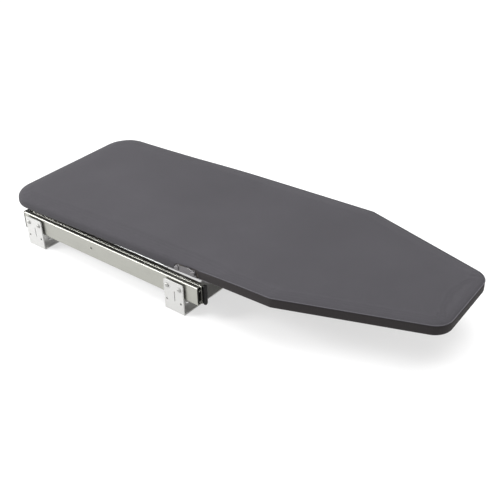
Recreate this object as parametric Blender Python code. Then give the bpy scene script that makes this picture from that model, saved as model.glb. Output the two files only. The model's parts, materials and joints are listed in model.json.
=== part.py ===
"""Pull-out ironing board for a cabinet: two telescopic rails on U-shaped brackets carry a
carriage, and on it a board that swivels and folds in half over a double-pivot side hinge.

Metres, +Z up.  +X is the pull-out direction.  The origin is the middle of the front
bracket's underside.  Sections of the rails are drawn as (depth, height): depth runs from
the outer rail's web towards the middle of the object, height from the rail's mid-line.
"""
import math

import bmesh
import bpy
from mathutils import Matrix, Vector

# ---- driving dimensions -------------------------------------------------------------
GAP = 0.0003                     # between touching pieces
RAIL_LENGTH = 0.405
RAIL_FRONT = 0.0455              # front end of the outer rails
RAIL_HALF = 0.1554               # mid-plane to the outer face of an outer rail
RAIL_MID_Z = 0.04375
RAIL_HEIGHT = 0.0325
RAIL_DEPTH = 0.0175              # outer, middle and inner member together
RAIL_SHEET = 0.0012
FLANGE_DEPTH = 0.0074
RAIL_BEND = 0.0022
RAIL_REAR = RAIL_FRONT - RAIL_LENGTH
MIDDLE_ENDS = (-0.345, 0.0475)
INNER_ENDS = (-0.358, 0.0475)
WEB_MID = RAIL_DEPTH / 2
WEB_HOLE = (-0.1885, 0.0458, 0.0024)         # spare fixing hole of the outer rail: X, Z, radius
SHELF_HEIGHT = 0.00975            # ball track of the middle member
SHELF_REACH = 0.0058
BEAD_RADIUS = 0.0010             # rolled edge of the middle member
END_CAP = (-0.0193, 0.0168, 0.0037, 0.0036)  # foot and top from the mid-line, radius, thickness
LINING = (0.016, 0.0013, 0.0118)             # rail stop: length, thickness, half height
SIDES = {"near": -1, "far": 1}

BALL_RADIUS = 0.0021
BALL_PITCH = 0.018
BALLS_PER_ROW = 6
TRACK_DEPTH = 0.0046             # ball centres, from the web of the member outside them
TRACK_HEIGHT = (SHELF_HEIGHT + RAIL_HEIGHT / 2 - RAIL_SHEET / 2) / 2
CAGE_LENGTH = 0.110
CAGE_X = -0.150
CAGE_HEIGHT = 0.01345
CAGE_BACK, CAGE_FRONT, CAGE_TIP = 0.0016, 0.0022, 0.0068
CAGE_LIP = 0.00065

BRACKET_WIDTH = 0.040
BRACKET_HEIGHT = 0.0559
BRACKET_SHEET = 0.002
BRACKET_OFFSET = 0.0025          # clear space between plate and rail
BRACKET_BEND = 0.0024
BRACKET_CENTRES = {"front_bracket": 0.0, "rear_bracket": -0.331}
BRACKET_CORNER = 0.003
PLATE_Y = RAIL_HALF + BRACKET_OFFSET + BRACKET_SHEET
UPPER_HOLES = (0.0125, 0.0464)   # half spacing, height
LOWER_HOLES = (0.0145, 0.020)
FLOOR_HOLES_Y = (0.131, 0.050)
PLATE_HOLE, FLOOR_HOLE, BOSS_RADIUS = 0.0021, 0.0026, 0.005
GROOVE_X, GROOVE_Z, GROOVE_DEPTH = (0.0012, 0.0028), (0.0210, 0.0395), 0.0013

PIVOT_X = -0.152
REST_SWIVEL = math.radians(1.83)  # the board stands slightly turned on its slides
BOARD_Z = 0.0713                 # underside of the board
PAN_LENGTH = 0.240
PAN_SHEET = 0.002
PAN_DEPTH = 0.028
PAN_TOP = -0.0100                # heights below are from the board's underside
LOWER_PLATE = (0.130, 0.130, 0.002)
UPPER_PLATE = (0.170, 0.120, 0.002)
RACE_RADIUS = 0.050
RACE_BALL = 0.00315
RACE_BALLS = 12
BOLT_RADIUS = 0.004
STOP_RADIUS = 0.066
LOWER_SCREW = 0.055              # corner screws of the lower plate, from its middle
UPPER_SCREW = (0.078, 0.048)
CARRIAGE_SCREWS_X = (-0.250, -0.054)
SCREW_HOLE = 0.0023
PAN_HALF = RAIL_HALF - RAIL_DEPTH - GAP
PAN_WINDOW = ((0.060, 0.100), (0.032, 0.018, 0.008))   # middle; half sizes and corner radius
RING_RADII = (0.044, 0.056)
RING_HALF = 0.0007
LUG = ((0.0035, 0.0080), (0.0600, 0.0645), 0.0032)     # spans in X and Y, height
WASHER = (0.0105, 0.0015)        # radius, thickness
NUT = (0.0075, 0.0065)

BOARD_LENGTH = 0.8045
BOARD_WIDTH = 0.305
SHOULDER = 0.570                 # rear end to the start of the taper
NOSE_WIDTH = 0.149
REAR_RADIUS = 0.050
NOSE_RADIUS = 0.031
SHOULDER_RADIUS = 0.015
PIVOT_FROM_REAR = 0.2497
SPLIT = 0.414                    # fold line, from the rear end
FOLD = SPLIT - PIVOT_FROM_REAR   # and from the pivot's axis
COVER_SHEET = 0.0012
HEM = 0.020
PANEL_INSET = 0.0015
PANEL_Z = (0.0015, 0.0115)
PAD_CUTBACK = 0.0088             # pads and covers stop this short of the fold line
PANEL_CUTBACK = 0.0011
LOWER_TOP = PAN_TOP + GAP + LOWER_PLATE[2]
UPPER_TOP = PANEL_Z[0] - GAP
UPPER_LOW = UPPER_TOP - UPPER_PLATE[2]
HINGE_PIN = (0.0155, 0.0065)     # from the fold line, above the underside
EAR_SHEET = 0.0015
EAR_RADIUS = 0.005
EAR_BASE = ((0.0085, 0.045), 0.126)   # span from the fold line, inner edge from the middle
EAR_SCREWS = ((0.020, 0.038), 0.138)
EAR_SCREW_HOLE = 0.0019
LINK_SHEET = 0.002
LINK_RADIUS = 0.0046             # round the pins
LINK_APEX = ((0.0065, 0.0118), 0.0022)
RIVET_RADIUS = 0.0025
HEM_OPENING = (0.030, 0.047, 0.0014)  # depth from the edge, half length, height
# Opening in the cover's rim round a hinge link: from the fold line, above the underside.
RIM_OPENING = [(-0.0225, -0.010), (-0.0225, 0.0080), (-0.0190, 0.0112), (-0.0160, 0.0120),
               (0.0030, 0.0148), (0.0095, 0.0148), (0.0220, 0.0105), (0.0255, 0.0040),
               (0.0255, -0.010)]
# Sections of the soft parts as (inset, height).
COVER_OUTSIDE = [(HEM, 0), (0.0012, 0), (0, 0.0012), (0, 0.0160), (0.0018, 0.0183),
                 (0.0055, 0.0197), (0.0110, 0.0203)]
COVER_INSIDE = [(HEM, COVER_SHEET), (0.0014, COVER_SHEET), (0.0012, 0.0014), (0.0012, 0.0154),
                (0.0026, 0.0173), (0.0059, 0.0186), (0.0112, 0.0191)]
FOAM_PROFILE = [(0.0015, 0.0118), (0.0015, 0.0151), (0.0029, 0.0170), (0.0061, 0.0183),
                (0.0114, 0.0188)]

STEEL = ("steel", (0.70, 0.70, 0.66), 0.35, 1.0)
WHITE = ("coated_steel", (0.86, 0.86, 0.84), 0.45, 0.0)
GALVANISED = ("galvanised", (0.55, 0.56, 0.56), 0.45, 1.0)
BRIGHT = ("bright_steel", (0.80, 0.80, 0.80), 0.20, 1.0)
BLACK = ("black_plastic", (0.03, 0.03, 0.03), 0.5, 0.0)
CAGE = ("cage_plastic", (0.55, 0.55, 0.52), 0.5, 0.0)
BOARD = ("fibreboard", (0.50, 0.38, 0.25), 0.8, 0.0)
FOAM = ("foam", (0.85, 0.83, 0.75), 0.9, 0.0)
CLOTH = ("grey_cotton", (0.13, 0.125, 0.14), 0.85, 0.0)


# ---- tools --------------------------------------------------------------------------
def material(spec):
    name, colour, roughness, metallic = spec
    found = bpy.data.materials.get(name)
    if found:
        return found
    made = bpy.data.materials.new(name)
    made.use_nodes = True
    shader = made.node_tree.nodes["Principled BSDF"]
    shader.inputs["Base Color"].default_value = (*colour, 1.0)
    shader.inputs["Roughness"].default_value = roughness
    shader.inputs["Metallic"].default_value = metallic
    return made


def finish(name, bm, spec, parent=None, round_shape=False):
    """Turn a bmesh into a named object with outward faces."""
    bmesh.ops.recalc_face_normals(bm, faces=bm.faces)
    mesh = bpy.data.meshes.new(name)
    bm.to_mesh(mesh)
    bm.free()
    if round_shape:
        mesh.shade_smooth()
        mesh.set_sharp_from_angle(angle=math.radians(35))
    obj = bpy.data.objects.new(name, mesh)
    bpy.context.scene.collection.objects.link(obj)
    mesh.materials.append(material(spec))
    obj.parent = parent
    return obj


def boolean(obj, bm, operation="DIFFERENCE"):
    """Combine an object with a hidden tool body; the tool shares the object's frame."""
    tool = finish(f"{obj.name}_{operation.lower()}_tool", bm, STEEL, obj.parent)
    tool.hide_render = True
    tool.display_type = "WIRE"
    modifier = obj.modifiers.new(operation.title(), "BOOLEAN")
    modifier.operation = operation
    modifier.object = tool
    return obj


def add_prism(bm, outline, axis, low, high):
    """Extrude a 2-D outline along an axis; the outline lists the other two, in X, Y, Z order."""
    def place(point, along):
        coords = list(point)
        coords.insert("XYZ".index(axis), along)
        return bm.verts.new(coords)

    lower = [place(point, low) for point in outline]
    upper = [place(point, high) for point in outline]
    bm.faces.new(lower)
    bm.faces.new(upper)
    for i, _ in enumerate(lower):
        j = (i + 1) % len(lower)
        bm.faces.new((lower[i], lower[j], upper[j], upper[i]))


def add_box(bm, low, high):
    rectangle = [(low[0], low[1]), (high[0], low[1]), (high[0], high[1]), (low[0], high[1])]
    add_prism(bm, rectangle, "Z", low[2], high[2])


def circle(x, y, radius, count=16):
    turns = (2 * math.pi * i / count for i in range(count))
    return [(x + radius * math.cos(t), y + radius * math.sin(t)) for t in turns]


def arc(x, y, radius, start, end, steps):
    """Points of an arc in degrees, both ends included."""
    angles = (math.radians(start + (end - start) * i / steps) for i in range(steps + 1))
    return [(x + radius * math.cos(t), y + radius * math.sin(t)) for t in angles]


def rounded_rectangle(half_x, half_y, radius, steps=4):
    corners = ((1, 1, 0), (-1, 1, 90), (-1, -1, 180), (1, -1, 270))
    points = []
    for sx, sy, start in corners:
        points += arc(sx * (half_x - radius), sy * (half_y - radius), radius, start, start + 90, steps)
    return points


def add_turned(bm, centre, axis, steps, count=16):
    """Stack of coaxial discs: steps are (along, radius) from one end to the other."""
    index = "XYZ".index(axis)
    rings = []
    for along, radius in steps:
        ring = []
        for u, v in circle(0, 0, radius, count):
            coords = [u, v]
            coords.insert(index, along)
            ring.append(bm.verts.new(Vector(coords) + Vector(centre)))
        rings.append(ring)
    for lower, upper in zip(rings, rings[1:]):
        for i in range(count):
            j = (i + 1) % count
            bm.faces.new((lower[i], lower[j], upper[j], upper[i]))
    bm.faces.new(rings[0])
    bm.faces.new(rings[-1])


def fasteners(prefix, steps, seats, parent=None, count=16):
    """Numbered copies of a turned piece whose head stands on each seat, along its direction."""
    bm = bmesh.new()
    add_turned(bm, (0, 0, 0), "Z", steps, count)
    first = None
    for number, (location, direction) in enumerate(seats, 1):
        name = f"{prefix}_{number}"
        if first is None:
            obj = finish(name, bm, BRIGHT, parent, round_shape=True)
            first = obj
        else:
            obj = bpy.data.objects.new(name, first.data)
            bpy.context.scene.collection.objects.link(obj)
            obj.parent = parent
        obj.location = location
        obj.rotation_euler = Vector(direction).to_track_quat("Z", "Y").to_euler()


def pan_head(radius, height, shank, length):
    """Steps of a low domed head above its seat, and the shank below it."""
    dome = [(height, radius * 0.6), (height * 0.65, radius * 0.92), (0, radius)]
    return dome + [(0, shank), (-length, shank)]


def add_ball(bm, centre, radius):
    bmesh.ops.create_uvsphere(bm, u_segments=8, v_segments=5, radius=radius,
                              matrix=Matrix.Translation(centre))


def rail_y(side, depth):
    return side * (RAIL_HALF - depth)


# ---- telescopic rails ---------------------------------------------------------------
def channel_section():
    """C-section of the outer member, its web at depth 0."""
    half = RAIL_HEIGHT / 2
    bend, tight = RAIL_BEND, RAIL_BEND - RAIL_SHEET
    points = [(FLANGE_DEPTH, half)]
    points += arc(bend, half - bend, bend, 90, 180, 4)
    points += arc(bend, bend - half, bend, 180, 270, 4)
    points += [(FLANGE_DEPTH, -half), (FLANGE_DEPTH, RAIL_SHEET - half)]
    points += arc(bend, bend - half, tight, 270, 180, 4)
    points += arc(bend, half - bend, tight, 180, 90, 4)
    return points + [(FLANGE_DEPTH, half - RAIL_SHEET)]


def middle_section():
    """Upright web with a rolled edge and a ball track across it at top and bottom."""
    web, bead = RAIL_SHEET / 2, RAIL_HEIGHT / 2 - BEAD_RADIUS
    low, high = SHELF_HEIGHT - web, SHELF_HEIGHT + web
    quarter = arc(0, bead, BEAD_RADIUS, 68, -52, 4)
    quarter += [(web, high), (SHELF_REACH, high), (SHELF_REACH, low), (web, low)]
    right = quarter + [(x, -y) for x, y in reversed(quarter)]
    left = [(-x, y) for x, y in reversed(right)]
    return [(WEB_MID + x, y) for x, y in right + left]


def rail(name, section, side, start, end, spec=STEEL):
    bm = bmesh.new()
    outline = [(rail_y(side, depth), RAIL_MID_Z + height) for depth, height in section]
    add_prism(bm, outline, "X", start, end)
    return finish(name, bm, spec)


def ball_positions():
    first = CAGE_X - BALL_PITCH * (BALLS_PER_ROW - 1) / 2
    return [first + BALL_PITCH * i for i in range(BALLS_PER_ROW)]


def ball_cage(name, side, outer):
    """Channel-shaped retainer with its two rows of balls snapped into its flanges."""
    low, high = TRACK_HEIGHT - CAGE_LIP, TRACK_HEIGHT + CAGE_LIP
    section = [(CAGE_BACK, CAGE_HEIGHT), (CAGE_FRONT, CAGE_HEIGHT), (CAGE_FRONT, high),
               (CAGE_TIP, high), (CAGE_TIP, low), (CAGE_FRONT, low)]
    section += [(x, -y) for x, y in reversed(section)]
    track = TRACK_DEPTH
    if not outer:
        section = [(RAIL_DEPTH - x, y) for x, y in section]
        track = RAIL_DEPTH - TRACK_DEPTH
    start = CAGE_X - CAGE_LENGTH / 2
    obj = rail(name, section, side, start, start + CAGE_LENGTH, CAGE)
    balls = bmesh.new()
    for x in ball_positions():
        for sign in (-1, 1):
            add_ball(balls, (x, rail_y(side, track), RAIL_MID_Z + sign * TRACK_HEIGHT), BALL_RADIUS)
    return boolean(obj, balls, "UNION")


def end_cap(name, side):
    """Tall stadium-shaped guard on the front end of an inner member."""
    low, high, radius, thickness = END_CAP
    mid = RAIL_DEPTH - FLANGE_DEPTH / 2
    back = INNER_ENDS[1] + GAP
    outline = arc(mid, high - radius, radius, 0, 180, 8)
    outline += arc(mid, low + radius, radius, 180, 360, 8)
    bm = bmesh.new()
    placed = [(rail_y(side, depth), RAIL_MID_Z + height) for depth, height in outline]
    add_prism(bm, placed, "X", back, back + thickness)
    obj = finish(name, bm, BLACK, round_shape=True)
    bevel = obj.modifiers.new("Bevel", "BEVEL")
    bevel.width = 0.0007
    bevel.segments = 2
    bevel.limit_method = "ANGLE"
    bevel.angle_limit = math.radians(60)
    return obj


def rail_stop(name, side):
    """Plastic lining in the front end of an outer member."""
    length, thickness, half_height = LINING
    face = RAIL_SHEET + GAP
    low, high = sorted(rail_y(side, depth) for depth in (face, face + thickness))
    bm = bmesh.new()
    add_box(bm, (RAIL_FRONT - length, low, RAIL_MID_Z - half_height),
            (RAIL_FRONT + 0.001, high, RAIL_MID_Z + half_height))
    return finish(name, bm, BLACK)


def rails():
    for word, side in SIDES.items():
        outer = rail(f"outer_rail_{word}", channel_section(), side, RAIL_REAR, RAIL_FRONT)
        boolean(outer, outer_rail_holes(side))
        rail(f"middle_rail_{word}", middle_section(), side, *MIDDLE_ENDS)
        mirrored = [(RAIL_DEPTH - depth, height) for depth, height in channel_section()]
        inner = rail(f"inner_rail_{word}", mirrored, side, *INNER_ENDS)
        boolean(inner, carriage_holes(side))
        ball_cage(f"outer_cage_{word}", side, True)
        ball_cage(f"inner_cage_{word}", side, False)
        end_cap(f"end_cap_{word}", side)
        rail_stop(f"rail_stop_{word}", side)


# ---- brackets -----------------------------------------------------------------------
def bracket_section():
    """U of bent sheet, seen along X."""
    bend, tight = BRACKET_BEND, BRACKET_BEND - BRACKET_SHEET
    right = arc(PLATE_Y - bend, bend, bend, 270, 360, 5) + [(PLATE_Y, BRACKET_HEIGHT)]
    right += [(PLATE_Y - BRACKET_SHEET, BRACKET_HEIGHT)]
    right += arc(PLATE_Y - bend, bend, tight, 360, 270, 5)
    return right + [(-y, z) for y, z in reversed(right)]


def screw_positions():
    spacing, height = UPPER_HOLES
    return [(centre + sign * spacing, height)
            for centre in BRACKET_CENTRES.values() for sign in (-1, 1)]


def outer_rail_holes(side):
    """Bracket screw holes and the spare hole through an outer rail's web."""
    bm = bmesh.new()
    ends = sorted((rail_y(side, -2 * RAIL_SHEET), rail_y(side, 2 * RAIL_SHEET)))
    for x, z in screw_positions():
        add_prism(bm, circle(x, z, 0.0020), "Y", *ends)
    add_prism(bm, circle(*WEB_HOLE), "Y", *ends)
    return bm


def bracket(name, centre):
    bm = bmesh.new()
    add_prism(bm, bracket_section(), "X", centre - BRACKET_WIDTH / 2, centre + BRACKET_WIDTH / 2)
    obj = finish(name, bm, WHITE)
    bosses, tools = bmesh.new(), bmesh.new()
    reach = PLATE_Y + 0.005
    for side in SIDES.values():
        ends = sorted((side * (RAIL_HALF + GAP), side * (PLATE_Y - BRACKET_SHEET / 2)))
        for sign in (-1, 1):
            place = centre + sign * UPPER_HOLES[0]
            add_prism(bosses, circle(place, UPPER_HOLES[1], BOSS_RADIUS), "Y", *ends)
    boolean(obj, bosses, "UNION")
    for spacing, height in (UPPER_HOLES, LOWER_HOLES):
        for sign in (-1, 1):
            add_prism(tools, circle(centre + sign * spacing, height, PLATE_HOLE), "Y", -reach, reach)
    for y in FLOOR_HOLES_Y:
        for sign in (-1, 1):
            add_prism(tools, circle(centre, sign * y, FLOOR_HOLE), "Z", -0.005, 0.008)
    for side in SIDES.values():
        groove = sorted((side * (PLATE_Y - GROOVE_DEPTH), side * reach))
        add_box(tools, (centre + GROOVE_X[0], groove[0], GROOVE_Z[0]),
                (centre + GROOVE_X[1], groove[1], GROOVE_Z[1]))
        for corner in (-1, 1):
            edge = centre + corner * BRACKET_WIDTH / 2
            inside, clear = edge - corner * BRACKET_CORNER, edge + corner * 0.001
            low = BRACKET_HEIGHT - BRACKET_CORNER
            middle = (edge - corner * BRACKET_CORNER * 0.3, BRACKET_HEIGHT - BRACKET_CORNER * 0.3)
            outline = [(inside, BRACKET_HEIGHT + 0.001), (inside, BRACKET_HEIGHT), middle,
                       (edge, low), (clear, low), (clear, BRACKET_HEIGHT + 0.001)]
            ends = sorted((side * (PLATE_Y - 0.006), side * (reach + 0.001)))
            add_prism(tools, outline, "Y", *ends)
    return boolean(obj, tools)


def bracket_screws():
    length = BRACKET_SHEET + BRACKET_OFFSET + RAIL_SHEET + GAP - 0.0001
    seats = [((x, side * (PLATE_Y + GAP), z), (0, side, 0))
             for side in SIDES.values() for x, z in screw_positions()]
    fasteners("bracket_screw", pan_head(0.0036, 0.0018, 0.0018, length), seats)


def add_ring(bm, low, high, outer, inner, count):
    """Washer-shaped solid round the Z axis."""
    loops = []
    for z, radius in ((low, inner), (low, outer), (high, outer), (high, inner)):
        loops.append([bm.verts.new((x, y, z)) for x, y in circle(0, 0, radius, count)])
    for a, b in zip(loops, loops[1:] + loops[:1]):
        for i in range(count):
            j = (i + 1) % count
            bm.faces.new((a[i], a[j], b[j], b[i]))


# ---- carriage and swivel ------------------------------------------------------------
def carriage_holes(side):
    """Screw holes through a flange of the pan and the web of the inner rail beside it."""
    bm = bmesh.new()
    ends = sorted((side * (PAN_HALF - 3 * PAN_SHEET), side * (PAN_HALF + 3 * RAIL_SHEET)))
    for x in CARRIAGE_SCREWS_X:
        add_prism(bm, circle(x, RAIL_MID_Z, SCREW_HOLE), "Y", *ends)
    return bm


def carriage_pan():
    """Inverted tray between the inner rails: flat top, two flanges turned down."""
    top = BOARD_Z + PAN_TOP
    low, sheet, bend = top - PAN_DEPTH, PAN_SHEET, 0.003
    right = [(PAN_HALF, low)] + arc(PAN_HALF - bend, top - bend, bend, 0, 90, 4)
    inside = arc(PAN_HALF - bend, top - bend, bend - sheet, 90, 0, 4) + [(PAN_HALF - sheet, low)]
    outline = right + [(-y, z) for y, z in reversed(right)]
    outline += [(-y, z) for y, z in reversed(inside)] + inside
    bm = bmesh.new()
    add_prism(bm, outline, "X", PIVOT_X - PAN_LENGTH / 2, PIVOT_X + PAN_LENGTH / 2)
    obj = finish("carriage_pan", bm, GALVANISED)
    tools = bmesh.new()
    add_prism(tools, circle(PIVOT_X, 0, BOLT_RADIUS + GAP), "Z", top - 0.01, top + 0.01)
    for sx in (-1, 1):
        for sy in (-1, 1):
            x, y = PIVOT_X + sx * LOWER_SCREW, sy * LOWER_SCREW
            add_prism(tools, circle(x, y, SCREW_HOLE), "Z", top - 0.01, top + 0.01)
            window = [(PIVOT_X + sx * PAN_WINDOW[0][0] + u, sy * PAN_WINDOW[0][1] + v)
                      for u, v in rounded_rectangle(*PAN_WINDOW[1])]
            add_prism(tools, window, "Z", top - 0.01, top + 0.01)
    boolean(obj, tools)
    for side in SIDES.values():
        boolean(obj, carriage_holes(side))
    return obj


def carriage_screws():
    length = PAN_SHEET + RAIL_SHEET + 2 * GAP - 0.0001
    seats = [((x, side * (PAN_HALF - PAN_SHEET - GAP), RAIL_MID_Z), (0, -side, 0))
             for side in SIDES.values() for x in CARRIAGE_SCREWS_X]
    fasteners("carriage_screw", pan_head(0.0038, 0.0020, 0.0020, length), seats)


def swivel_lower_plate(parent):
    """Square plate on the carriage, with two lugs that end the swivel at a quarter turn."""
    bm = bmesh.new()
    outline = rounded_rectangle(LOWER_PLATE[0] / 2, LOWER_PLATE[1] / 2, 0.008)
    add_prism(bm, outline, "Z", PAN_TOP + GAP, LOWER_TOP)
    obj = finish("swivel_lower_plate", bm, GALVANISED, parent)
    lugs = bmesh.new()
    (start, end), reach, height = LUG
    for side in (-1, 1):
        near, far = sorted(side * y for y in reach)
        add_box(lugs, (start, near, LOWER_TOP - 0.001), (end, far, LOWER_TOP + height))
    boolean(obj, lugs, "UNION")
    holes = bmesh.new()
    low, high = PAN_TOP - 0.003, LOWER_TOP + 0.003
    add_prism(holes, circle(0, 0, BOLT_RADIUS + GAP), "Z", low, high)
    for sx in (-1, 1):
        for sy in (-1, 1):
            add_prism(holes, circle(sx * LOWER_SCREW, sy * LOWER_SCREW, SCREW_HOLE), "Z", low, high)
    return boolean(obj, holes)


def swivel_lower_screws(parent):
    seats = [((sx * LOWER_SCREW, sy * LOWER_SCREW, LOWER_TOP + GAP), (0, 0, 1))
             for sx in (-1, 1) for sy in (-1, 1)]
    fasteners("swivel_lower_screw", pan_head(0.0040, 0.0018, 0.0020, 0.0075), seats, parent=parent)


def swivel_race(parent):
    """Flat ring between the two plates, with the balls it spaces snapped into it."""
    middle = (LOWER_TOP + UPPER_LOW) / 2
    ring, balls = bmesh.new(), bmesh.new()
    add_ring(ring, middle - RING_HALF, middle + RING_HALF, RING_RADII[1], RING_RADII[0], 48)
    obj = finish("swivel_ball_ring", ring, CAGE, parent)
    for x, y in circle(0, 0, RACE_RADIUS, RACE_BALLS):
        add_ball(balls, (x, y, middle), RACE_BALL)
    return boolean(obj, balls, "UNION")


def swivel_upper_plate(parent):
    bm = bmesh.new()
    outline = rounded_rectangle(UPPER_PLATE[0] / 2, UPPER_PLATE[1] / 2, 0.012)
    add_prism(bm, outline, "Z", UPPER_LOW, UPPER_TOP)
    obj = finish("swivel_upper_plate", bm, GALVANISED, parent)
    holes = bmesh.new()
    low, high = UPPER_LOW - 0.003, UPPER_TOP + 0.003
    add_prism(holes, circle(0, 0, BOLT_RADIUS + 0.0001, 24), "Z", low, high)
    for x, y in upper_screw_positions():
        add_prism(holes, circle(x, y, SCREW_HOLE), "Z", low, high)
    return boolean(obj, holes)


def upper_screw_positions():
    return [(sx * UPPER_SCREW[0], sy * UPPER_SCREW[1]) for sx in (-1, 1) for sy in (-1, 1)]


def swivel_upper_screws(parent):
    seats = [((x, y, UPPER_LOW - GAP), (0, 0, -1)) for x, y in upper_screw_positions()]
    fasteners("swivel_upper_screw", pan_head(0.0040, 0.0018, 0.0020, 0.0100), seats, parent=parent)


def swivel_stop_pin(parent):
    bm = bmesh.new()
    steps = [(0, 0.003), (-0.0046, 0.003), (-0.0050, 0.0026)]
    add_turned(bm, (-STOP_RADIUS, 0, UPPER_LOW - GAP), "Z", steps)
    return finish("swivel_stop_pin", bm, BRIGHT, parent, round_shape=True)


def pivot(parent):
    """Bolt through both plates and the pan, with its washer and nut below."""
    head_low = UPPER_TOP + GAP
    under = PAN_TOP - PAN_SHEET - GAP
    bolt, washer, nut = bmesh.new(), bmesh.new(), bmesh.new()
    add_turned(bolt, (0, 0, 0), "Z", [
        (head_low + 0.0040, 0.0060), (head_low + 0.0025, 0.0078), (head_low, 0.0080),
        (head_low, BOLT_RADIUS), (under - 0.0105, BOLT_RADIUS)], 24)
    finish("pivot_bolt", bolt, BRIGHT, parent, round_shape=True)
    add_ring(washer, under - WASHER[1], under, WASHER[0], BOLT_RADIUS + GAP, 24)
    finish("pivot_washer", washer, GALVANISED, parent, round_shape=True)
    high = under - WASHER[1] - GAP
    add_prism(nut, circle(0, 0, NUT[0], 6), "Z", high - NUT[1], high)
    nut_object = finish("pivot_nut", nut, BRIGHT, parent)
    hole = bmesh.new()
    add_prism(hole, circle(0, 0, BOLT_RADIUS + GAP, 24), "Z", high - 0.01, high + 0.003)
    boolean(nut_object, hole)


# ---- board --------------------------------------------------------------------------
def fillet(corner, before, after, radius, steps):
    """Arc that rounds one corner of an outline, from the side of 'before' to that of 'after'."""
    corner, before, after = Vector(corner), Vector(before), Vector(after)
    to_before, to_after = (before - corner).normalized(), (after - corner).normalized()
    half = to_before.angle(to_after) / 2
    centre = corner + (to_before + to_after).normalized() * (radius / math.sin(half))
    start = corner + to_before * (radius / math.tan(half)) - centre
    end = corner + to_after * (radius / math.tan(half)) - centre
    sweep = start.angle_signed(end)
    return [centre + Matrix.Rotation(-sweep * i / steps, 2) @ start for i in range(steps + 1)]


def board_outline(inset):
    """Outline of the board, set in from its edge, from the pivot's axis."""
    wide, nose = BOARD_WIDTH / 2, NOSE_WIDTH / 2
    corners = [(0, -wide), (SHOULDER, -wide), (BOARD_LENGTH, -nose),
               (BOARD_LENGTH, nose), (SHOULDER, wide), (0, wide)]
    radii = [REAR_RADIUS, SHOULDER_RADIUS, NOSE_RADIUS, NOSE_RADIUS, SHOULDER_RADIUS, REAR_RADIUS]
    steps = [7, 3, 6, 6, 3, 7]
    count = len(corners)
    moved = []
    for i in range(count):
        here = Vector(corners[i])
        back = (here - Vector(corners[i - 1])).normalized()
        ahead = (Vector(corners[(i + 1) % count]) - here).normalized()
        normal_back, normal_ahead = Vector((-back.y, back.x)), Vector((-ahead.y, ahead.x))
        bisector = (normal_back + normal_ahead).normalized()
        moved.append(here + bisector * (inset / bisector.dot(normal_back)))
    points = []
    for i in range(count):
        radius = max(radii[i] - inset, 0.002)
        points += fillet(moved[i], moved[i - 1], moved[(i + 1) % count], radius, steps[i])
    return [(x - PIVOT_FROM_REAR, y) for x, y in points]


def board_body(name, profile, spec, parent):
    """Sweep a section of (inset, height) round the board, closed flat at its first and last ring."""
    bm = bmesh.new()
    rings = []
    for inset, height in profile:
        rings.append([bm.verts.new((x, y, height)) for x, y in board_outline(inset)])
    for lower, upper in zip(rings, rings[1:]):
        for i, _ in enumerate(lower):
            j = (i + 1) % len(lower)
            bm.faces.new((lower[i], lower[j], upper[j], upper[i]))
    bm.faces.new(rings[0])
    bm.faces.new(rings[-1])
    return finish(name, bm, spec, parent)


def half_space(front, cutback):
    """Box that removes the other half of the board, up to the fold line less a cut-back."""
    bm = bmesh.new()
    if front:
        add_box(bm, (-1, -1, -0.1), (FOLD + cutback, 1, 0.1))
    else:
        add_box(bm, (FOLD - cutback, -1, -0.1), (1, 1, 0.1))
    return bm


def edge_openings(outline, depth):
    """Tools that cut an outline of (along, height) into both edges of the board at the fold line."""
    bm = bmesh.new()
    placed = [(FOLD + x, z) for x, z in outline]
    edge = BOARD_WIDTH / 2
    for side in SIDES.values():
        ends = sorted((side * (edge - depth), side * (edge + 0.01)))
        add_prism(bm, placed, "Y", *ends)
    return bm


def board_half(word, front, parent):
    sides = [(PANEL_INSET, height) for height in PANEL_Z]
    panel = board_body(f"{word}_panel", sides, BOARD, parent)
    boolean(panel, half_space(front, PANEL_CUTBACK))
    holes = bmesh.new()
    sign = 1 if front else -1
    for x, y in ear_screw_positions(sign):
        add_prism(holes, circle(FOLD + x, y, EAR_SCREW_HOLE), "Z", -0.01, 0.0096)
    if not front:
        add_prism(holes, circle(0, 0, 0.011, 24), "Z", -0.01, 0.0088)
        for x, y in upper_screw_positions():
            add_prism(holes, circle(x, y, SCREW_HOLE), "Z", -0.01, 0.0100)
    boolean(panel, holes)
    foam = board_body(f"{word}_foam", FOAM_PROFILE, FOAM, parent)
    boolean(foam, half_space(front, PAD_CUTBACK))
    cover = board_body(f"{word}_cover", COVER_OUTSIDE[::-1] + COVER_INSIDE, CLOTH, parent)
    boolean(cover, half_space(front, PAD_CUTBACK))
    depth, half_length, high = HEM_OPENING
    hem = [(-half_length, -0.01), (half_length, -0.01), (half_length, high), (-half_length, high)]
    boolean(cover, edge_openings(hem, depth))
    boolean(cover, edge_openings(RIM_OPENING, PANEL_INSET + GAP))


def ear_screw_positions(sign):
    return [(sign * x, side * EAR_SCREWS[1]) for x in EAR_SCREWS[0] for side in SIDES.values()]


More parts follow.
